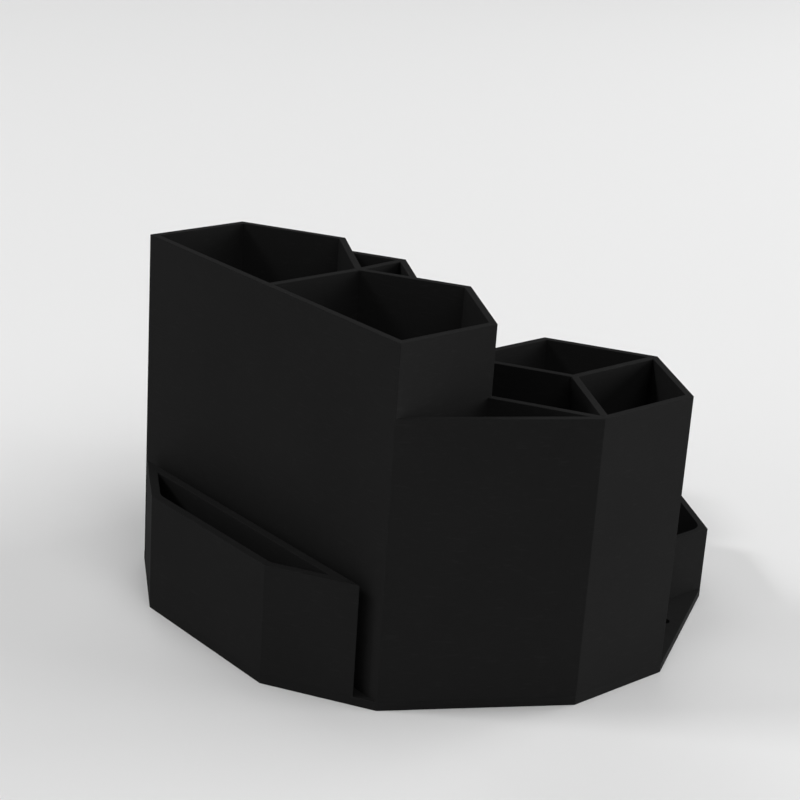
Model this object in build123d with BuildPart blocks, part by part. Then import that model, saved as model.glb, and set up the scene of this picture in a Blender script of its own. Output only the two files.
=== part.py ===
"""Honeycomb desk organizer with one drawer.

Seven regular hexagons, a middle one and a ring of six, stand on a twelve-sided plate.
The origin is the middle of the plate on the desk, +Z is up and the drawer opens towards -Y.
The two front hexagons, cut straight by the front wall, are the tall pen tower above the drawer.
The ring steps down from there: right cup, then left cup, rear cup and side tray.
All sizes are in millimetres.
"""
import os
from math import cos, radians, sin, sqrt

from build123d import *

# Honeycomb
cell_pitch = 54.0  # across the flats of a cell, from wall middle to wall middle
wall = 2.0  # thickness of every cell wall
plate_thick = 2.5  # base plate
fit_gap = 0.1  # around a panel that drops between walls

# Rim heights above the desk
tower_height = 100.0
right_cup_height = 80.5
left_cup_height = 61.0
rear_cup_height = 41.5
tray_height = 22.0
centre_panel_height = 41.5

# Clip cells in the inner corner of the tower
clip_reach_left = 17.5  # from the corner to the middle of the far wall, along the left cell
clip_reach_right = 15.9  # the same along the right cell

# Side tray
tray_gap = 0.3  # to the walls beside it
tray_floor = 2.0
tray_corner = 1.5  # radius inside

# Drawer
drawer_height = 34.2  # rim of the front above the desk
drawer_gap = 3.2  # between the closed front and the tower
front_wall = 2.5  # thickness of the front's own walls
front_corner = 2.0  # radius inside the front
drawer_floor = 2.0
box_width = 72.0  # outside
box_height = 27.0  # outside
box_wall = 2.0
box_corner = 1.5  # radius inside
lug_reach = 2.0  # stop lug, out of the side of the box
lug_thick = 3.0  # stop lug, along the travel
slide_gap = 0.4  # beside the box, in the opening and between the guides
lift_gap = 1.0  # over the box, in the opening
closing_gap = 0.3  # behind the closed box
guide_thick = 2.0
tower_floor_thick = 2.0

# Screw holes in the bare corners of the plate
hole_diameter = 3.0
hole_inset = 5.0  # from the long side to the middle of the hole
bare_corners = 4  # one after another, from the corner between right cup and tray

# Worked out from the honeycomb
side = cell_pitch / sqrt(3)
slant = 60.0  # degrees between neighbouring cells
rim_x = 1.5 * cell_pitch + wall / 4
rim_y = side / 2 + wall * sqrt(3) / 4
front_y = -(rim_x * sin(radians(slant)) - rim_y * cos(radians(slant)))
drawer_back_y = front_y - drawer_gap
long_side_apothem = rim_x * sin(radians(slant)) + rim_y * cos(radians(slant))


def cell_centre(angle):
    """Middle of the ring cell that lies in this direction, in degrees from +X."""
    return (cell_pitch * cos(radians(angle)), cell_pitch * sin(radians(angle)))


def turned(x, y, angle):
    """The point x, y turned about the origin by an angle in degrees."""
    c, s = cos(radians(angle)), sin(radians(angle))
    return (c * x - s * y, s * x + c * y)


right_cell, tray_cell, rear_cell, left_cell, front_left_cell, front_right_cell = (
    cell_centre(slant * k) for k in range(6)
)
rim_corners = []
for k in range(6):
    rim_corners.append(turned(rim_x, -rim_y, slant * k))
    rim_corners.append(turned(rim_x, rim_y, slant * k))

# Outlines that several pieces share
with BuildSketch() as plate_outline:
    Polygon(*rim_corners, align=None)

with BuildSketch() as inside_rim:
    add(plate_outline.sketch)
    offset(amount=-wall, kind=Kind.INTERSECTION, mode=Mode.REPLACE)


def cell_outline(centre):
    """A cell with its walls, kept inside the plate."""
    with BuildSketch() as outline:
        with Locations(centre):
            RegularPolygon((cell_pitch + wall) / 2, 6, major_radius=False, rotation=slant / 2)
        add(plate_outline.sketch, mode=Mode.INTERSECT)
    return outline.sketch


def cell_hollow(centre, gap=0.0):
    """The space inside a cell's walls, less a gap all round."""
    with BuildSketch() as hollow:
        with Locations(centre):
            RegularPolygon((cell_pitch - wall) / 2, 6, major_radius=False, rotation=slant / 2)
        add(inside_rim.sketch, mode=Mode.INTERSECT)
        if gap:
            offset(amount=-gap, kind=Kind.INTERSECTION, mode=Mode.REPLACE)
    return hollow.sketch


with BuildSketch() as tower_outline:
    add(cell_outline(front_left_cell))
    add(cell_outline(front_right_cell))
    split(bisect_by=Plane.XZ.offset(-front_y), keep=Keep.BOTTOM)

# Base plate, with a screw hole in each corner that no cell covers
with BuildPart() as base_plate:
    add(plate_outline.sketch)
    extrude(amount=plate_thick)
    with PolarLocations(
        long_side_apothem - hole_inset, bare_corners, start_angle=slant / 2,
        angular_range=slant * (bare_corners - 1), endpoint=True,
    ):
        Hole(hole_diameter / 2)

# Pen tower: one wall round two cells, with the drawer's opening low in front
opening_width = box_width + 2 * slide_gap
opening_height = box_height + lift_gap
with BuildPart() as tower_shell:
    with BuildSketch(Plane.XY.offset(plate_thick)):
        add(tower_outline.sketch)
        offset(tower_outline.sketch, amount=-wall, kind=Kind.INTERSECTION, mode=Mode.SUBTRACT)
    extrude(amount=tower_height - plate_thick)
    with BuildSketch(Plane.XZ.offset(-front_y)):
        with Locations((0, plate_thick)):
            Rectangle(opening_width, opening_height, align=(Align.CENTER, Align.MIN))
    extrude(amount=-wall, mode=Mode.SUBTRACT)

with BuildSketch() as tower_hollow:
    add(tower_outline.sketch)
    offset(amount=-(wall + fit_gap), kind=Kind.INTERSECTION, mode=Mode.REPLACE)

# Floor of the pen cells, over the drawer
tower_floor_base = plate_thick + opening_height
tower_floor_top = tower_floor_base + tower_floor_thick
with BuildPart() as tower_floor:
    with BuildSketch(Plane.XY.offset(tower_floor_base)):
        add(tower_hollow.sketch)
    extrude(amount=tower_floor_thick)

# Divider between the two pen cells
with BuildPart() as tower_divider:
    with BuildSketch(Plane.XY.offset(tower_floor_top)):
        with Locations((0, front_y)):
            Rectangle(wall, 2 * side, align=(Align.CENTER, Align.MIN))
        add(tower_hollow.sketch, mode=Mode.INTERSECT)
    extrude(amount=tower_height - tower_floor_top)

# Clip cells: two walls that close off a four-sided space in the tower's inner corner
clip_corner = Vector(0, -side)
along_left = Vector(-cos(radians(slant / 2)), sin(radians(slant / 2)))
along_right = Vector(cos(radians(slant / 2)), sin(radians(slant / 2)))
skew_half_wall = wall / 2 / sin(radians(slant))


def clip_outline(grow):
    """The four-sided space at the clip corner, with its far sides moved out by grow along the cells."""
    left = along_left * (clip_reach_left + grow)
    right = along_right * (clip_reach_right + grow)
    corners = [clip_corner, clip_corner + right, clip_corner + left + right, clip_corner + left]
    with BuildSketch() as outline:
        Polygon(*[(p.X, p.Y) for p in corners], align=None)
    return outline.sketch


with BuildPart() as clip_shell:
    with BuildSketch(Plane.XY.offset(plate_thick)):
        add(clip_outline(skew_half_wall))
        add(clip_outline(-skew_half_wall), mode=Mode.SUBTRACT)
        add(tower_outline.sketch, mode=Mode.SUBTRACT)
    extrude(amount=tower_height - plate_thick)

clip_diagonal = along_left * clip_reach_left + along_right * clip_reach_right
clip_middle = clip_corner + clip_diagonal / 2
with BuildPart() as clip_divider:
    with BuildSketch(Plane.XY.offset(plate_thick)):
        with Locations(Location((clip_middle.X, clip_middle.Y), clip_diagonal.get_angle(Vector(1, 0)))):
            Rectangle(2 * side, wall)
        add(clip_outline(-skew_half_wall - fit_gap), mode=Mode.INTERSECT)
        offset(tower_outline.sketch, amount=fit_gap, kind=Kind.INTERSECTION, mode=Mode.SUBTRACT)
    extrude(amount=tower_height - plate_thick)

# Right cup, open on the side where the tower's wall closes it
with BuildPart() as right_cup:
    with BuildSketch(Plane.XY.offset(plate_thick)):
        add(cell_outline(right_cell))
        add(cell_hollow(right_cell), mode=Mode.SUBTRACT)
        add(tower_outline.sketch, mode=Mode.SUBTRACT)
    extrude(amount=right_cup_height - plate_thick)

# Three-blade divider that drops into the right cup
with BuildPart() as right_cup_divider:
    with BuildSketch(Plane.XY.offset(plate_thick)):
        with Locations(right_cell):
            with PolarLocations(0, 3, start_angle=90):
                Rectangle(side, wall, align=(Align.MIN, Align.CENTER))
        add(cell_hollow(right_cell, fit_gap), mode=Mode.INTERSECT)
    extrude(amount=right_cup_height - plate_thick)

# Panel that closes the three-sided pocket between the tower and the right cup
with BuildPart() as pocket_panel:
    with BuildSketch(Plane.XY.offset(plate_thick)):
        Polygon((0, 0), turned(rim_x, rim_y, -slant), turned(rim_x, -rim_y, 0), align=None)
        add(inside_rim.sketch, mode=Mode.SUBTRACT)
        add(tower_outline.sketch, mode=Mode.SUBTRACT)
        add(cell_outline(right_cell), mode=Mode.SUBTRACT)
    extrude(amount=right_cup_height - plate_thick)

# Left cup, closed by the tower's wall on one side
with BuildPart() as left_cup:
    with BuildSketch(Plane.XY.offset(plate_thick)):
        add(cell_outline(left_cell))
        add(cell_hollow(left_cell), mode=Mode.SUBTRACT)
        add(tower_outline.sketch, mode=Mode.SUBTRACT)
    extrude(amount=left_cup_height - plate_thick)

# Rear cup, closed by the left cup's wall on one side
with BuildPart() as rear_cup:
    with BuildSketch(Plane.XY.offset(plate_thick)):
        add(cell_outline(rear_cell))
        add(cell_hollow(rear_cell), mode=Mode.SUBTRACT)
        add(cell_outline(left_cell), mode=Mode.SUBTRACT)
    extrude(amount=rear_cup_height - plate_thick)

# Panel that closes the middle cell towards the tray
with BuildPart() as centre_panel:
    with BuildSketch(Plane.XY.offset(plate_thick)):
        with Locations(Location(turned(cell_pitch / 2, 0, slant), slant)):
            Rectangle(wall, side)
        add(cell_outline(rear_cell), mode=Mode.SUBTRACT)
        add(cell_outline(right_cell), mode=Mode.SUBTRACT)
    extrude(amount=centre_panel_height - plate_thick)

# Side tray: a shallow bin that stands clear of the walls beside it
with BuildSketch() as tray_outline:
    add(cell_outline(tray_cell))
    for neighbour in (right_cell, rear_cell, (0, 0)):
        offset(cell_outline(neighbour), amount=tray_gap, kind=Kind.INTERSECTION, mode=Mode.SUBTRACT)

with BuildPart() as side_tray:
    with BuildSketch(Plane.XY.offset(plate_thick)):
        add(tray_outline.sketch)
    extrude(amount=tray_height - plate_thick)
    with BuildSketch(Plane.XY.offset(plate_thick + tray_floor)) as tray_hollow:
        add(tray_outline.sketch)
        offset(amount=-wall, kind=Kind.INTERSECTION, mode=Mode.REPLACE)
        fillet(tray_hollow.vertices(), tray_corner)
    extrude(amount=tray_height - plate_thick - tray_floor, mode=Mode.SUBTRACT)

# Drawer front: a hollow wedge, open on top, that fills the rim in front of the tower
with BuildSketch() as front_outline:
    add(plate_outline.sketch)
    split(bisect_by=Plane.XZ.offset(-drawer_back_y), keep=Keep.TOP)

with BuildPart() as drawer_front:
    with BuildSketch(Plane.XY.offset(plate_thick)):
        add(front_outline.sketch)
    extrude(amount=drawer_height - plate_thick)
    with BuildSketch(Plane.XY.offset(plate_thick + drawer_floor)) as front_hollow:
        add(front_outline.sketch)
        offset(amount=-front_wall, kind=Kind.INTERSECTION, mode=Mode.REPLACE)
        fillet(front_hollow.vertices().group_by(Axis.Y)[0], front_corner)
    extrude(amount=drawer_height - plate_thick - drawer_floor, mode=Mode.SUBTRACT)

# Drawer box: floor and three walls behind the front, with a stop lug on each side at the back
tower_corner_y = -side - wall / 2 / cos(radians(slant / 2))  # inner corner between the two pen cells
box_back_y = tower_corner_y - closing_gap
box_length = box_back_y - drawer_back_y
with BuildPart() as drawer_box:
    with BuildSketch(Plane.XY.offset(plate_thick)):
        with Locations((0, drawer_back_y)):
            Rectangle(box_width, box_length, align=(Align.CENTER, Align.MIN))
        with Locations((0, box_back_y)):
            Rectangle(box_width + 2 * lug_reach, lug_thick, align=(Align.CENTER, Align.MAX))
    extrude(amount=box_height)
    with BuildSketch(Plane.XY.offset(plate_thick + drawer_floor)) as box_hollow:
        with Locations((0, drawer_back_y)):
            Rectangle(box_width - 2 * box_wall, box_length - box_wall, align=(Align.CENTER, Align.MIN))
        fillet(box_hollow.vertices().group_by(Axis.Y)[-1], box_corner)
    extrude(amount=box_height - drawer_floor, mode=Mode.SUBTRACT)

# Guides: two upright walls that steer the box and carry the tower's floor
guide_front_y = front_y + wall + fit_gap
guide_length = box_back_y - guide_front_y
guide_inside = box_width / 2 + lug_reach + slide_gap


def drawer_guide(hand):
    """One guide, on the right for hand 1 and on the left for hand -1."""
    align_x = Align.MIN if hand > 0 else Align.MAX
    with BuildPart() as guide:
        with BuildSketch(Plane.XY.offset(plate_thick)):
            with Locations((hand * guide_inside, guide_front_y)):
                Rectangle(guide_thick, guide_length, align=(align_x, Align.MIN))
        extrude(amount=opening_height)
    return guide.part


drawer_travel = box_back_y - lug_thick - (front_y + wall)
print("drawer travel until the lugs meet the tower's front wall:", round(drawer_travel, 2))
print("plan size:", round(2 * rim_x, 2), round(2 * long_side_apothem, 2))

pieces = {
    "base_plate": base_plate.part,
    "tower_shell": tower_shell.part,
    "tower_floor": tower_floor.part,
    "tower_divider": tower_divider.part,
    "clip_shell": clip_shell.part,
    "clip_divider": clip_divider.part,
    "right_cup": right_cup.part,
    "right_cup_divider": right_cup_divider.part,
    "pocket_panel": pocket_panel.part,
    "left_cup": left_cup.part,
    "rear_cup": rear_cup.part,
    "centre_panel": centre_panel.part,
    "side_tray": side_tray.part,
    "drawer_front": drawer_front.part,
    "drawer_box": drawer_box.part,
    "drawer_guide_right": drawer_guide(1),
    "drawer_guide_left": drawer_guide(-1),
}

os.makedirs("parts", exist_ok=True)
for name, piece in pieces.items():
    piece.label = name
    export_step(piece, f"parts/{name}.step")
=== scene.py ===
# %% [markdown]
# # A honeycomb desk organizer with a drawer
#
# The real thing is a matte black desk organizer. Seven hexagonal cells stand on a twelve-sided
# plate, with walls only two millimetres thick, and a wedge-shaped drawer slides out in front.
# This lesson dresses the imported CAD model. Every length in it is in millimetres until a mesh is
# made, and then it is in metres, as Blender wants.

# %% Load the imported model, which is the frame for everything else
import math

import bmesh
import bpy
import numpy as np
from mathutils import Matrix, Vector


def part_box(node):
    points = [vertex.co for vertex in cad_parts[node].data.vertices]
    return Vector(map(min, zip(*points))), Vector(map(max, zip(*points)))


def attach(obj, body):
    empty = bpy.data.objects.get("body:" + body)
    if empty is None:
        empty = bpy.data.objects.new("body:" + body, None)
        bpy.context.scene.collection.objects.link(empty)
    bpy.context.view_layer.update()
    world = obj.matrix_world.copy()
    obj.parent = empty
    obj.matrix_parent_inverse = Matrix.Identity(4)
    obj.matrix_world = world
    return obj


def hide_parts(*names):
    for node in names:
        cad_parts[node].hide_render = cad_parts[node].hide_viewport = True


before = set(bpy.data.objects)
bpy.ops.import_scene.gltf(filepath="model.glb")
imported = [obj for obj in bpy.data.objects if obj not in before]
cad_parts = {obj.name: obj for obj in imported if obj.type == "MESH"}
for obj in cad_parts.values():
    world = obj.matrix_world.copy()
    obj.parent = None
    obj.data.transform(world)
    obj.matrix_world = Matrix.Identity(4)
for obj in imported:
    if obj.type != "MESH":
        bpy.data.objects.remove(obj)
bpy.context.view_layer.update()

# %% [markdown]
# ## The sizes that the pieces share
#
# The real organizer repeats one hexagon, so almost every corner follows from the distance between
# two parallel walls. The rim heights can't be worked out from the hexagon: the cups go down like
# stairs, and each height is read from the top of its CAD node, so that the two can't drift apart.

# %% Shared sizes
MM = 0.001
CELL_PITCH = 54.0  # across the flats of a cell, from wall middle to wall middle
WALL = 2.0
SIDE = CELL_PITCH / math.sqrt(3)
LIP = 0.15  # radius along every rim
CORNER = 0.2  # radius of the upright edges, where no other is given
TUCK = 0.02  # a wall that ends inside another one stays this much lower
SIN_30, COS_30 = math.sin(math.radians(30)), math.cos(math.radians(30))
SIN_60, COS_60 = math.sin(math.radians(60)), math.cos(math.radians(60))


def top_of(node):
    """Highest point of a CAD node."""
    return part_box(node)[1].z / MM


def foot_of(node):
    """Lowest point of a CAD node."""
    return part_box(node)[0].z / MM


PLATE_TOP = top_of("base_plate")
print("plate top", round(PLATE_TOP, 2), "tower rim", round(top_of("tower_shell"), 2))

# %% [markdown]
# ## The camera
#
# The photograph looks down on the right front corner from a little over half a metre away. The
# heading, pitch and roll below come from the three vanishing points of the picture, and a long
# 85 mm lens keeps the upright edges nearly parallel. The camera is set up first, because every
# later choice is judged through it.

# %% Camera
CAMERA_PLACE = (0.3794, -0.3453, 0.2421)  # metres
CAMERA_HEADING, CAMERA_PITCH, CAMERA_ROLL = -48.805, 19.974, -3.836  # degrees
LENS, SENSOR = 85, 36  # millimetres

heading, pitch, roll = (math.radians(v) for v in (CAMERA_HEADING, CAMERA_PITCH, CAMERA_ROLL))
level = Vector((math.sin(heading), math.cos(heading), 0))
forward = level * math.cos(pitch) - Vector((0, 0, math.sin(pitch)))
right = forward.cross(Vector((0, 0, 1))).normalized()
up = right.cross(forward)
turned_right = right * math.cos(roll) - up * math.sin(roll)
turned_up = right * math.sin(roll) + up * math.cos(roll)

camera_data = bpy.data.cameras.new("camera")
camera_data.lens, camera_data.sensor_width = LENS, SENSOR
camera = bpy.data.objects.new("camera", camera_data)
camera.matrix_world = Matrix.Translation(CAMERA_PLACE) @ Matrix(
    (turned_right, turned_up, -forward)
).transposed().to_4x4()
bpy.context.scene.collection.objects.link(camera)
bpy.context.scene.camera = camera
print("camera distance in m:", round(Vector(CAMERA_PLACE).length, 3))

# %% [markdown]
# ## Helpers for outlines
#
# Each wall is drawn from above first, as a closed outline that runs anticlockwise. Modelling the
# corners by hand would be slow and a bit different each time, so two functions do it: one finds the
# corners of a cell from its sides, and one replaces every corner by a small arc. Each point of the
# rounded outline keeps the direction that is square to it, because the rims need that later.


# %% Outlines
def side_corners(centre, directions, distances):
    """Corners of a convex outline, given its sides. Side k is the line n . (p - centre) = d, where n
    is the unit vector in direction k and d is distance k. Corner k solves the equations of sides
    k and k + 1 together."""
    angle = np.radians(directions)
    normal = np.stack([np.cos(angle), np.sin(angle)], 1)
    distance = np.asarray(distances, float)
    pairs = np.stack([normal, np.roll(normal, -1, 0)], 1)
    values = np.stack([distance, np.roll(distance, -1)], 1)[..., None]
    return np.asarray(centre) + np.linalg.solve(pairs, values)[..., 0]


def turned(points, degrees):
    """Points turned about the origin: x' = x cos a - y sin a, y' = x sin a + y cos a."""
    cosine, sine = math.cos(math.radians(degrees)), math.sin(math.radians(degrees))
    return np.asarray(points, float) @ np.array([[cosine, sine], [-sine, cosine]])


def moved_in(corners, distance):
    """Corners of the outline whose sides lie a distance inside. With outward side normals m and n at
    a corner, the new corner is the old one minus distance (m + n) / (1 + m . n)."""
    corners = np.asarray(corners, float)
    along = np.roll(corners, -1, 0) - corners
    along /= np.linalg.norm(along, axis=1, keepdims=True)
    after = np.stack([along[:, 1], -along[:, 0]], 1)
    before = np.roll(after, 1, 0)
    return corners - distance * (before + after) / (1 + (before * after).sum(1, keepdims=True))


side_directions = np.arange(0, 360, 60)
cell_corners = side_corners((0, 0), side_directions, [CELL_PITCH / 2] * 6)
print("a cell's corners:", np.round(cell_corners, 1).tolist())

# %% Rounded outlines
ARC_STEPS = 4  # flat parts in every corner's arc and in every rounded rim


def rounded(corners, radius=CORNER):
    """Points and outward directions of a closed outline with an arc at each corner. If the outline
    turns by t at a corner, the arc begins radius tan(|t| / 2) before it, and its point at share s
    lies radius away from the arc's middle, in the first side's normal turned by s t."""
    corners = np.asarray(corners, float)
    radius = np.broadcast_to(np.asarray(radius, float), len(corners))[:, None]
    after = np.roll(corners, -1, 0) - corners
    after /= np.linalg.norm(after, axis=1, keepdims=True)
    before = np.roll(after, 1, 0)
    cross, dot = before[:, 0] * after[:, 1] - before[:, 1] * after[:, 0], (before * after).sum(1)
    turn = np.arctan2(cross, dot)[:, None]
    normal = np.stack([before[:, 1], -before[:, 0]], 1)
    bulge = np.sign(turn)
    middle = corners - before * radius * np.tan(np.abs(turn) / 2) - bulge * normal * radius
    angle = turn * np.linspace(0, 1, ARC_STEPS + 1)
    out = np.stack(
        [
            normal[:, :1] * np.cos(angle) - normal[:, 1:] * np.sin(angle),
            normal[:, :1] * np.sin(angle) + normal[:, 1:] * np.cos(angle),
        ],
        -1,
    )
    points = middle[:, None] + (bulge * radius)[..., None] * out
    return points.reshape(-1, 2), out.reshape(-1, 2)


print("points of a cell's rounded outline:", len(rounded(cell_corners)[0]))

# %% [markdown]
# ## Helpers for walls
#
# A moulded or printed wall is never razor sharp, and the thin light line along its rim is what makes
# it look real. A Bevel modifier would round the rims too, but it would also cut a groove wherever one
# wall runs into another. So a wall is a grid: along it run the points of its outline, and up it
# runs a short profile that ends in a quarter circle. Walls that end inside a neighbour keep plain
# ends and stay two hundredths of a millimetre lower, so the joint disappears.


# %% Profile and grid of a wall
def rim_profile(foot, top):
    """How far inwards and how high a wall's side is, from its foot to its rounded rim. The last
    quarter circle is inwards LIP (1 - cos a), height top - LIP + LIP sin a, for a from 0 to 90
    degrees."""
    a = np.linspace(0, math.pi / 2, ARC_STEPS + 1)
    inwards = np.concatenate([[0], LIP * (1 - np.cos(a))])
    height = np.concatenate([[foot], top - LIP + LIP * np.sin(a)])
    return inwards, height


def rows_of(points, out, inwards, height):
    """Rows of a grid: row i is the outline moved inwards by inwards[i], at height[i]."""
    flat = points[None] - np.asarray(inwards)[:, None, None] * out[None]
    up = np.broadcast_to(np.asarray(height)[:, None, None], flat.shape[:2] + (1,))
    return np.concatenate([flat, up], 2)


def grid_quads(rows, columns, closed_rows=False):
    """Corner numbers of the quads of a grid whose columns close into a loop. A quad joins points
    (i, j), (i, j + 1), (i + 1, j + 1) and (i + 1, j), so it faces outwards when columns run
    anticlockwise and rows run up."""
    i = np.arange(rows if closed_rows else rows - 1)[:, None]
    j = np.arange(columns)[None]
    above, beside = (i + 1) % rows, (j + 1) % columns
    corners = [i * columns + j, i * columns + beside, above * columns + beside, above * columns + j]
    return np.stack(np.broadcast_arrays(*corners), -1).reshape(-1, 4)


print("inwards and height of a rim 10 mm up:", [np.round(v, 3).tolist() for v in rim_profile(0, 10)])


# %% From a grid to a piece
def new_piece(name, grid, quads, caps, finish, smooth_rows=()):
    """A mesh object from a grid of points in millimetres, its quads, and the loops that close it.
    Rows in smooth_rows are shaded round."""
    mesh = bpy.data.meshes.new(name)
    columns = grid.shape[1]
    faces = quads.tolist() + [list(map(int, cap)) for cap in caps]
    mesh.from_pydata((grid.reshape(-1, 3) * MM).tolist(), [], faces)
    smooth = np.zeros(len(faces), bool)
    smooth[: len(quads)] = np.isin(np.arange(len(quads)) // columns, smooth_rows)
    mesh.polygons.foreach_set("use_smooth", smooth)
    mesh.materials.append(finish)
    mesh.validate()
    piece = bpy.data.objects.new(name, mesh)
    bpy.context.scene.collection.objects.link(piece)
    return piece


def solid_wall(name, corners, foot, top, finish):
    """A solid wall over one outline, closed by a flat rim and a flat foot."""
    points, out = rounded(corners)
    grid = rows_of(points, out, *rim_profile(foot, top))
    rows, columns = grid.shape[:2]
    caps = [np.arange(columns)[::-1], np.arange(columns) + (rows - 1) * columns]
    return new_piece(name, grid, grid_quads(rows, columns), caps, finish)


def stands_for(piece, node, body):
    """The piece takes the place of a CAD node, rides on its body, and prints how well the two boxes
    agree."""
    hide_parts(node)
    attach(piece, body)
    low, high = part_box(node)
    co = np.empty(len(piece.data.vertices) * 3)
    piece.data.vertices.foreach_get("co", co)
    co = co.reshape(-1, 3)
    off = np.abs(np.concatenate([co.min(0) - np.array(low), co.max(0) - np.array(high)])).max()
    print(f"{piece.name}: {len(piece.data.polygons)} faces, box within {off / MM:.2f} mm of {node}")
    return piece


# %% [markdown]
# ## The black plastic
#
# The photograph shows one matte, neutral black with hardly any shine, as on printed or textured
# moulded plastic. Four things keep it from looking like flat paint. Very fine level lines run round
# every upright wall as a bump, short streaks of lighter colour along them are a painted highlight
# where light would catch them, a grain as fine as sand breaks up the highlight, and the tone drifts
# a little over a few centimetres. Painted pictures could do this too, but they would need unwrapped
# pieces. Here all four are noise over the place on the object, so they need none, and they stay put
# when the camera moves. The gloss is far below the usual value for plastic, because even faces seen
# at a low angle stay dark.

# %% Black plastic
# Noise cells per metre along X, Y and Z
LEVEL_LINES = (14, 14, 3200)  # centimetres long and a third of a millimetre high
# The streaks are a painted highlight: colour up to 18 per cent lighter where light would catch the
# level lines
PAINTED_HIGHLIGHT_STREAKS = (260, 260, 1500)  # a few millimetres long and two thirds of a millimetre high
GRAIN = (2600, 2600, 2600)
DRIFT = (28, 28, 28)
# Least and greatest value of what each noise drives
DRIFT_TONE = (0.88, 1.12)
GRAIN_TONE = (0.94, 1.06)
GRAIN_ROUGHNESS = (0.8, 0.9)
PAINTED_HIGHLIGHT_TONE = (1.0, 1.18)
PAINTED_HIGHLIGHT_NOISE = (0.6, 0.75)  # a streak starts at the first noise value and is full at the second
BUMP_DEPTH = 0.00003  # metres
BUMP_STRENGTH = 0.25
BLACK = 0.012
GLOSS = 0.045
REFRACTION = 1.46


def black_plastic(name, tone, seed):
    """A matte black plastic. Its tone is tone x drift x grain x painted highlight streaks, where each
    of these is noise over the place on the object, brought to a narrow range about one. The seed moves
    the noise."""
    material = bpy.data.materials.new(name)
    material.use_nodes = True
    nodes, links = material.node_tree.nodes, material.node_tree.links
    shader = nodes["Principled BSDF"]
    shader.inputs["IOR"].default_value = REFRACTION
    shader.inputs["Specular IOR Level"].default_value = GLOSS
    place = nodes.new("ShaderNodeTexCoord")

    def noise(scale, detail):
        """Noise over the object's own coordinates, with its own scale on each axis."""
        mapping = nodes.new("ShaderNodeMapping")
        mapping.inputs["Scale"].default_value = scale
        mapping.inputs["Location"].default_value = (seed, 2 * seed, 3 * seed)
        pattern = nodes.new("ShaderNodeTexNoise")
        pattern.inputs["Scale"].default_value = 1
        pattern.inputs["Detail"].default_value = detail
        links.new(place.outputs["Object"], mapping.inputs["Vector"])
        links.new(mapping.outputs["Vector"], pattern.inputs["Vector"])
        return pattern.outputs["Fac"]

    def between(value, low, high, start=0.0, end=1.0):
        """The value, with the range from start to end brought to the one from low to high."""
        ramp = nodes.new("ShaderNodeMapRange")
        ends = {"From Min": start, "From Max": end, "To Min": low, "To Max": high}
        for socket, number in ends.items():
            ramp.inputs[socket].default_value = number
        links.new(value, ramp.inputs["Value"])
        return ramp.outputs["Result"]

    def times(first, second):
        """The product of two values."""
        product = nodes.new("ShaderNodeMath")
        product.operation = "MULTIPLY"
        links.new(first, product.inputs[0])
        links.new(second, product.inputs[1])
        return product.outputs[0]

    def bump(height):
        """A Bump node, BUMP_DEPTH deep, on this height."""
        relief = nodes.new("ShaderNodeBump")
        relief.inputs["Strength"].default_value = BUMP_STRENGTH
        relief.inputs["Distance"].default_value = BUMP_DEPTH
        links.new(height, relief.inputs["Height"])
        return relief

    grain = noise(GRAIN, detail=2)
    drifting = between(noise(DRIFT, detail=2), *(share * tone for share in DRIFT_TONE))
    # Painted highlight: short streaks of lighter colour where light would catch the level lines
    painted_highlight_streaks = between(noise(PAINTED_HIGHLIGHT_STREAKS, detail=1), *PAINTED_HIGHLIGHT_TONE, *PAINTED_HIGHLIGHT_NOISE)
    grainy = times(drifting, between(grain, *GRAIN_TONE))
    links.new(times(grainy, painted_highlight_streaks), shader.inputs["Base Color"])
    links.new(between(grain, *GRAIN_ROUGHNESS), shader.inputs["Roughness"])
    lines, sand = bump(noise(LEVEL_LINES, detail=1)), bump(grain)
    links.new(lines.outputs["Normal"], sand.inputs["Normal"])
    links.new(sand.outputs["Normal"], shader.inputs["Normal"])
    print(name, "tone", tone)
    return material


plastic = {
    slot: black_plastic("black_" + slot, BLACK, seed)
    for slot, seed in (("cells", 0.0), ("plate", 5.0), ("tray", 11.0), ("drawer", 17.0))
}

# %% [markdown]
# ## The pen tower
#
# Two hexagons side by side, cut straight in front, make one tall wall with seven corners. Its front
# has a wide low opening for the drawer. A Boolean modifier could cut it, but would leave long thin
# faces. So the wall is a closed tube of points: up the outside, over the rim and down the inside.
# Two pairs of extra points stand where the opening begins and ends, and between them the foot of
# the wall is lifted to the opening's top edge.

# %% Corners of the tower
# The plate has a corner at (RIM_X, RIM_Y). Mirrored and turned in steps of 60 degrees, it gives
# all twelve.
RIM_X = 1.5 * CELL_PITCH + WALL / 4
RIM_Y = SIDE / 2 + WALL * math.sqrt(3) / 4
FRONT_Y = -(RIM_X * SIN_60 - RIM_Y * COS_60)
CELL_OUT = (CELL_PITCH + WALL) / 2  # from a cell's middle to the outside of its walls
CELL_RADIUS = CELL_OUT / COS_30
ROW_Y = -CELL_PITCH * COS_30  # middle of the two front cells
tower_corners = np.array([
    (-CELL_PITCH / 2 - CELL_OUT, FRONT_Y),
    (CELL_PITCH / 2 + CELL_OUT, FRONT_Y),
    (CELL_PITCH / 2 + CELL_OUT, ROW_Y + CELL_RADIUS / 2),
    (CELL_PITCH / 2, ROW_Y + CELL_RADIUS),
    (0, -SIDE + WALL / 2 / COS_30),
    (-CELL_PITCH / 2, ROW_Y + CELL_RADIUS),
    (-CELL_PITCH / 2 - CELL_OUT, ROW_Y + CELL_RADIUS / 2),
])
print("tower corners:", np.round(tower_corners, 2).tolist())


# %% Tower wall
OPENING_HALF = 36.4  # half the width of the drawer's opening
OPENING_TOP = foot_of("tower_floor")
SAME_PLACE, NO_LENGTH = 1e-7, 1e-8  # metres


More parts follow.
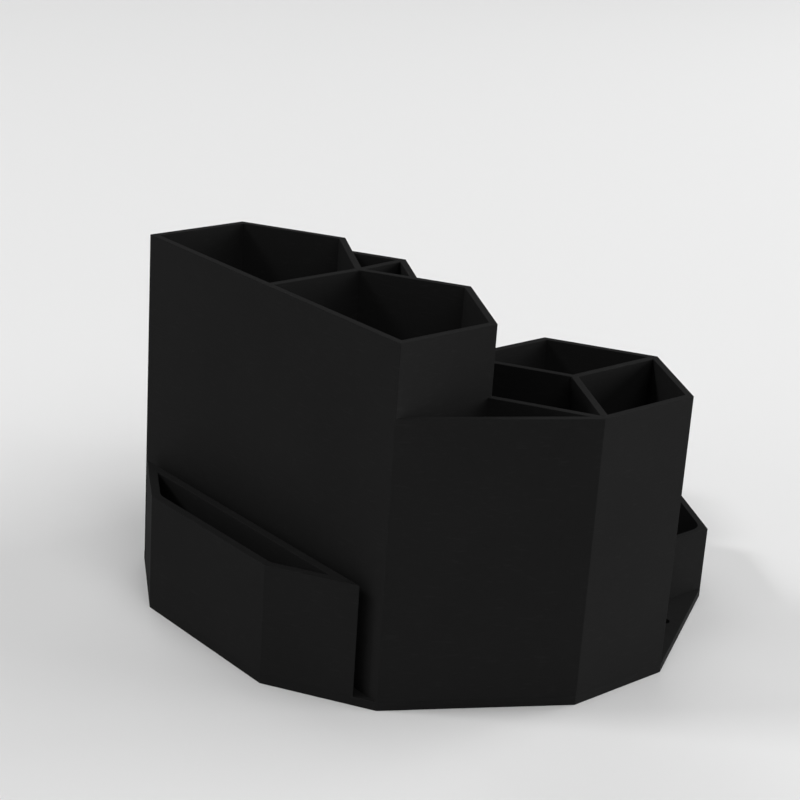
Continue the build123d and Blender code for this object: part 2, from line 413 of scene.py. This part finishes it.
def tower_wall(name, corners, foot, top, finish):
    """Closed wall between two matched outlines, with an opening in its first side."""
    outside, out = rounded(corners)
    inside, into = rounded(moved_in(corners, WALL))
    first_side = ARC_STEPS + 1  # points of the first corner's arc, after which the first side begins
    jambs = np.array([-OPENING_HALF, -OPENING_HALF, OPENING_HALF, OPENING_HALF])

    def with_jambs(points, normals):
        """The outline with four more points on its first side, two at each end of the opening."""
        extra = np.stack([jambs, np.full(4, points[first_side, 1])], 1)
        return (
            np.insert(points, first_side, extra, 0),
            np.insert(normals, first_side, np.tile([0.0, -1.0], (4, 1)), 0),
        )

    outside, out = with_jambs(outside, out)
    inside, into = with_jambs(inside, into)
    inwards, height = rim_profile(foot, top)
    inwards, height = np.insert(inwards, 1, 0), np.insert(height, 1, OPENING_TOP)
    up_outside = rows_of(outside, out, inwards, height)
    down_inside = rows_of(inside, into, -inwards, height)[::-1]
    grid = np.concatenate([up_outside, down_inside])
    grid[[0, -1], first_side + 1 : first_side + 3, 2] = OPENING_TOP
    rows, columns = grid.shape[:2]
    piece = new_piece(name, grid, grid_quads(rows, columns, closed_rows=True), [], finish)
    shape = bmesh.new()
    shape.from_mesh(piece.data)
    bmesh.ops.remove_doubles(shape, verts=shape.verts, dist=SAME_PLACE)
    bmesh.ops.dissolve_degenerate(shape, edges=shape.edges, dist=NO_LENGTH)
    shape.to_mesh(piece.data)
    shape.free()
    return piece


tower = tower_wall("tower", tower_corners, PLATE_TOP, top_of("tower_shell"), plastic["cells"])
stands_for(tower, "tower_shell", "body")

# %% [markdown]
# ## The walls inside and behind the tower
#
# One upright wall parts the two pen cells. Behind the tower, where the two hexagons meet, a small
# four-sided space with a diagonal wall holds clips. Each of these is a straight or bent strip
# whose ends run a millimetre into the walls beside it. A cube could be stretched and turned into
# place, but an outline says at once where the ends are, and it gives the same rounded rim as on
# every other wall.


# %% Strips
def strip(start, end):
    """Outline of a straight strip: half a wall to both sides of the line from start to end."""
    start, end = np.asarray(start, float), np.asarray(end, float)
    along = (end - start) / np.linalg.norm(end - start)
    beside = np.array([along[1], -along[0]]) * WALL / 2
    return np.array([start + beside, end + beside, end - beside, start - beside])


pen_divider = solid_wall(
    "pen_divider",
    strip((0, FRONT_Y + WALL / 2), (0, -SIDE)),
    top_of("tower_floor"), top_of("tower_divider") - TUCK, plastic["cells"],
)
stands_for(pen_divider, "tower_divider", "body")

# %% Clip space
CLIP_LEFT, CLIP_RIGHT = 17.5, 15.9  # from the tower's corner to the middles of the far walls
clip_corner = np.array([0, -SIDE])
along_left = np.array([-COS_30, SIN_30])
along_right = np.array([COS_30, SIN_30])
skew = WALL / 2 / SIN_60  # half a wall, measured along the wall it meets at 60 degrees


def clip_far_side(grow):
    """Three corners of the far sides of the four-sided space, moved out by grow along each side."""
    right_way, left_way = along_right * (CLIP_RIGHT + grow), along_left * (CLIP_LEFT + grow)
    return clip_corner + np.array([right_way, right_way + left_way, left_way])


clip_walls = solid_wall(
    "clip_walls",
    np.concatenate([clip_far_side(skew), clip_far_side(-skew)[::-1]]),
    PLATE_TOP, top_of("clip_shell") - TUCK, plastic["cells"],
)
stands_for(clip_walls, "clip_shell", "body")

clip_far_corner = clip_far_side(0)[1]
clip_blade = solid_wall(
    "clip_blade", strip(clip_corner, clip_far_corner),
    PLATE_TOP, top_of("clip_divider") - 2 * TUCK, plastic["cells"],
)
stands_for(clip_blade, "clip_divider", "body")

# %% [markdown]
# ## The cups
#
# The right, left and rear cups are the same open hexagon wall, turned about the middle of the plate
# in steps of 60 degrees. Where a neighbour already closes a side, the wall stops inside that
# neighbour. Turned copies of one cup wouldn't do, because the three differ in height, and because a
# finished piece has to lie unturned at the origin. So it is the outline that is turned, with its
# gap on one side or, mirrored, on the other.

# %% Cup walls
RING_OUT = RIM_X - CELL_PITCH  # from a ring cell's middle to the outside of the plate's rim
ring_cell = side_corners((CELL_PITCH, 0), side_directions, [RING_OUT] + [CELL_OUT] * 5)


def open_ring(gap_side):
    """Outline of the wall round a ring cell without one of its six sides: the side that faces 120
    degrees from outwards for gap_side 1, or 240 degrees for -1. The path takes the four corners
    beyond the gap on the outside, and comes back along the same corners moved in by the wall. Both
    ends reach the middle of the neighbour's wall."""
    kept = [3, 4, 5, 0] if gap_side > 0 else [5, 0, 1, 2]
    outside, inside = ring_cell[kept], moved_in(ring_cell, WALL)[kept]
    by_the_middle = [(CELL_PITCH / 2 + way * WALL / 2, gap_side * SIDE / 2) for way in (-1, 1)]
    across = np.array([COS_60, gap_side * SIN_60]) * WALL / 2
    by_the_rim = [np.array([CELL_PITCH, gap_side * SIDE]) + way * across for way in (1, -1)]
    ends = (by_the_middle, by_the_rim) if gap_side > 0 else (by_the_rim, by_the_middle)
    there = np.concatenate([ends[0][:1], outside, ends[1][:1]])
    back = np.concatenate([ends[0][1:], inside, ends[1][1:]])
    return np.concatenate([there, back[::-1]])


for name, node, turn, gap_side in (
    ("cup_right", "right_cup", 0, -1),
    ("cup_left", "left_cup", 180, 1),
    ("cup_rear", "rear_cup", 120, 1),
):
    outline = turned(open_ring(gap_side), turn)
    cup = solid_wall(name, outline, PLATE_TOP, top_of(node), plastic["cells"])
    stands_for(cup, node, "body")

# %% [markdown]
# ## Panels and blades between the cups
#
# The right cup holds a divider with three blades, a panel closes the pocket between the cup and the
# tower, and another low one closes the middle cell. The divider is one piece with a nine-cornered
# outline, so its blades meet without overlapping faces.

# %% Three-blade divider
BLADE_REACH = SIDE - WALL / 2  # from the cell's middle into its walls


def blades(centre, directions, reach):
    """Outline of blades that meet at a centre. Each blade gives the corners of its tip, and between
    two blades the outline dips to the point where their sides cross, which lies
    WALL / 2 / sin(half the angle between them) from the centre."""
    a = np.radians(directions)
    along = np.stack([np.cos(a), np.sin(a)], 1)
    beside = np.stack([-np.sin(a), np.cos(a)], 1) * WALL / 2
    half = math.pi / len(directions)
    valley = WALL / 2 / math.sin(half) * np.stack([np.cos(a + half), np.sin(a + half)], 1)
    far = along * np.asarray(reach, float)[:, None]
    return np.asarray(centre) + np.stack([far - beside, far + beside, valley], 1).reshape(-1, 2)


three_blades = solid_wall(
    "cup_blades",
    blades((CELL_PITCH, 0), (90, 210, 330), (BLADE_REACH, BLADE_REACH, BLADE_REACH - WALL / 4)),
    PLATE_TOP, top_of("right_cup_divider") - TUCK, plastic["cells"],
)
stands_for(three_blades, "right_cup_divider", "body")

# %% Pocket panel and middle panel
END_SLANT = 0.2  # the pocket panel is this much shorter inside, at both ends
tower_edge, cup_edge = tower_corners[1], ring_cell[5]
rim_way = (cup_edge - tower_edge) / np.linalg.norm(cup_edge - tower_edge)
rim_in = np.array([-rim_way[1], rim_way[0]]) * WALL
shorter = rim_way * END_SLANT
pocket = solid_wall(
    "pocket_wall",
    np.array([tower_edge, cup_edge, cup_edge + rim_in - shorter, tower_edge + rim_in + shorter]),
    PLATE_TOP, top_of("pocket_panel") - TUCK, plastic["cells"],
)
stands_for(pocket, "pocket_panel", "body")

middle_wall = solid_wall(
    "middle_wall", strip(*turned([(CELL_PITCH / 2, -SIDE / 2), (CELL_PITCH / 2, SIDE / 2)], 60)),
    PLATE_TOP, top_of("centre_panel") - TUCK, plastic["cells"],
)
stands_for(middle_wall, "centre_panel", "body")

# %% [markdown]
# ## The two shallow bins
#
# The side tray and the drawer's front are both little bins: an outside wall, a rounded rim, an
# inside wall, and a floor that runs into the wall with a small hollow curve, as a mould or a nozzle
# leaves it. The two outlines have the same number of points, so one grid covers everything from the
# foot to the floor.


# %% Bins
BIN_FLOOR = 2.0
BIN_CORNER = 5.5  # radius of the corners inside
COVE, COVE_STEPS = 0.8, 5  # radius of the hollow curve round the floor, and its flat parts


def bin_piece(name, corners, wall, top, outer_radius, inner_radius, finish):
    """A bin on the plate as one grid: up the outside, over the rim, down the inside, and round a cove
    of radius r into the floor. The cove's point at angle a is r (1 - cos a) inwards and r (1 - sin a)
    above the floor."""
    outside, out = rounded(corners, outer_radius)
    inside, into = rounded(moved_in(corners, wall), inner_radius)
    inwards, height = rim_profile(PLATE_TOP, top)
    a = np.linspace(0, math.pi / 2, COVE_STEPS + 1)
    floor = PLATE_TOP + BIN_FLOOR
    up_outside = rows_of(outside, out, inwards, height)
    down_inside = rows_of(inside, into, -inwards[:0:-1], height[:0:-1])
    round_the_cove = rows_of(inside, into, COVE * (1 - np.cos(a)), floor + COVE * (1 - np.sin(a)))
    grid = np.concatenate([up_outside, down_inside, round_the_cove])
    rows, columns = grid.shape[:2]
    caps = [np.arange(columns)[::-1], np.arange(columns) + (rows - 1) * columns]
    cove_rows = range(rows - COVE_STEPS - 1, rows - 1)
    return new_piece(name, grid, grid_quads(rows, columns), caps, finish, smooth_rows=cove_rows)


print("a bin's floor lies at", PLATE_TOP + BIN_FLOOR, "mm")


# %% Side tray
TRAY_GAP = 0.3  # to the walls beside it
near_side = CELL_PITCH / 2 - WALL / 2 - TRAY_GAP
tray_sides = [RING_OUT, CELL_OUT, near_side, near_side, near_side, CELL_OUT]
tray_corners = turned(side_corners((CELL_PITCH, 0), side_directions, tray_sides), 60)
tray = bin_piece(
    "tray", tray_corners, WALL, top_of("side_tray"), CORNER, BIN_CORNER, plastic["tray"]
)
stands_for(tray, "side_tray", "body")

# %% Drawer front
FRONT_WALL = 2.5
TIP, TIP_INSIDE = 0.1, 0.2  # radii of the two sharp tips
front_right = turned((RIM_X, -RIM_Y), -60)
back_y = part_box("drawer_front")[1].y / MM
tip_x = front_right[0] + (back_y - front_right[1]) / math.tan(math.radians(30))
front_corners = np.array([
    (-tip_x, back_y), front_right * (-1, 1), front_right, (tip_x, back_y),
])
print("drawer front corners:", np.round(front_corners, 2).tolist())
drawer = bin_piece(
    "drawer", front_corners, FRONT_WALL, top_of("drawer_front"),
    (TIP, CORNER, CORNER, TIP), (TIP_INSIDE, BIN_CORNER, BIN_CORNER, TIP_INSIDE), plastic["drawer"],
)
stands_for(drawer, "drawer_front", "drawer")

# %% [markdown]
# ## Nodes that keep their CAD shape
#
# The base plate, the pen cells' floor, the drawer's box and its guides already have the right shape.
# They only get the plastic, and a Bevel modifier rounds their edges. A CAD node is loose triangles, so
# a Weld modifier joins them first, or the Bevel would find no edges.

# %% Kept nodes
EDGE, EDGE_PARTS = 0.0001, 2  # width of the bevel in metres, and its flat parts
JOIN = 1e-5  # metres
SHARP = 40  # degrees that two faces turn by, from which their edge gets the bevel
for node, slot in (
    ("base_plate", "plate"), ("tower_floor", "cells"), ("drawer_box", "drawer"),
    ("drawer_guide_right", "cells"), ("drawer_guide_left", "cells"),
):
    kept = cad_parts[node]
    kept.data.materials.clear()
    kept.data.materials.append(plastic[slot])
    weld = kept.modifiers.new("weld", "WELD")
    weld.merge_threshold = JOIN
    bevel = kept.modifiers.new("bevel", "BEVEL")
    bevel.width, bevel.segments = EDGE, EDGE_PARTS
    bevel.limit_method, bevel.angle_limit = "ANGLE", math.radians(SHARP)
    print(node, "keeps its shape")

# %% [markdown]
# ## Floor and backdrop
#
# The photograph has a plain pale studio sweep. A flat floor with a wall behind it would show a line,
# so the floor bends up into the wall. It is turned all the way round the object, so that it is
# there from every side.


# %% Studio sweep
# All in metres
FLOOR_RADIUS = 6.0
BEND_RADIUS = 2.0
MIDDLE_RADIUS = 0.3  # of the one flat face in the middle
BELOW = 0.00005  # the floor lies this far under the plate, so the two faces don't share a place


def sweep(name, around=128, along=24):
    """A surface of revolution, with its middle closed by one flat face. The profile goes out flat to
    the floor's radius R, and then along a quarter circle of radius r, R + r sin a out and
    r (1 - cos a) up."""
    a = np.linspace(0, math.pi / 2, along)
    out = np.concatenate([[MIDDLE_RADIUS], FLOOR_RADIUS + BEND_RADIUS * np.sin(a)])[:, None]
    height = np.concatenate([[0], BEND_RADIUS * (1 - np.cos(a))])[:, None] - BELOW
    turn = np.linspace(0, 2 * math.pi, around, endpoint=False)
    grid = np.stack(np.broadcast_arrays(out * np.cos(turn), out * np.sin(turn), height), -1)
    quads = grid_quads(len(out), around)[:, ::-1]
    mesh = bpy.data.meshes.new(name)
    mesh.from_pydata(grid.reshape(-1, 3).tolist(), [], quads.tolist() + [list(range(around))])
    mesh.polygons.foreach_set("use_smooth", np.ones(len(mesh.polygons), bool))
    piece = bpy.data.objects.new(name, mesh)
    bpy.context.scene.collection.objects.link(piece)
    return piece


PAPER = 0.8  # share of the light that it throws back
paper = bpy.data.materials.new("paper")
paper.use_nodes = True
paper_shader = paper.node_tree.nodes["Principled BSDF"]
paper_shader.inputs["Base Color"].default_value = (PAPER, PAPER, PAPER, 1)
paper_shader.inputs["Roughness"].default_value = 1.0
paper_shader.inputs["Specular IOR Level"].default_value = 0.0

studio = sweep("studio_sweep")
studio.data.materials.append(paper)
print("studio sweep faces:", len(studio.data.polygons))

# %% [markdown]
# ## Studio light
#
# The photograph has soft light from every side and most of it from the right, so the floor is darker
# on the left. Large square lamps on a dome round the object give that. The shadow on the right is
# weaker but has clear edges, so one lamp on the left is small. Light adds up, so the strengths could
# be found by rendering the scene once with each lamp alone, and adding the pictures up until the
# tones agreed.

# %% Lamps
# All in metres
AIM_HEIGHT = 0.04  # a little under half way up the object
LAMP_DISTANCE = 2.6
LARGE, SMALL = 1.4, 0.45  # sides of the square lamps


def lamp(name, azimuth, elevation, watts, size):
    """A square lamp that faces the object, from an azimuth in degrees anticlockwise from +X."""
    a, e = math.radians(azimuth), math.radians(elevation)
    away = Vector((math.cos(a) * math.cos(e), math.sin(a) * math.cos(e), math.sin(e)))
    light = bpy.data.lights.new(name, "AREA")
    light.shape, light.size, light.energy = "SQUARE", size, watts
    holder = bpy.data.objects.new(name, light)
    holder.location = Vector((0, 0, AIM_HEIGHT)) + away * LAMP_DISTANCE
    holder.rotation_euler = away.to_track_quat("Z", "Y").to_euler()
    holder.visible_camera = False
    bpy.context.scene.collection.objects.link(holder)


for name, azimuth, elevation, watts, size in (
    ("lamp_right_rear", 79, 16, 45.2, LARGE), ("lamp_right", 49, 16, 33.3, LARGE),
    ("lamp_rear", 139, 42, 6.7, LARGE), ("lamp_left_rear", 169, 42, 9.2, LARGE),
    ("lamp_left", -101, 16, 10.6, LARGE), ("lamp_front", -71, 42, 5.4, LARGE),
    ("lamp_near", -11, 42, 17.8, LARGE), ("lamp_top", 0, 90, 10.4, LARGE),
    ("lamp_clear", -126, 39, 20.7, SMALL),
):
    lamp(name, azimuth, elevation, watts, size)

# %% Dark world
world = bpy.data.worlds.new("world")
world.use_nodes = True
world.node_tree.nodes["Background"].inputs["Strength"].default_value = 0.0
bpy.context.scene.world = world
bpy.context.scene.view_settings.view_transform = "Standard"
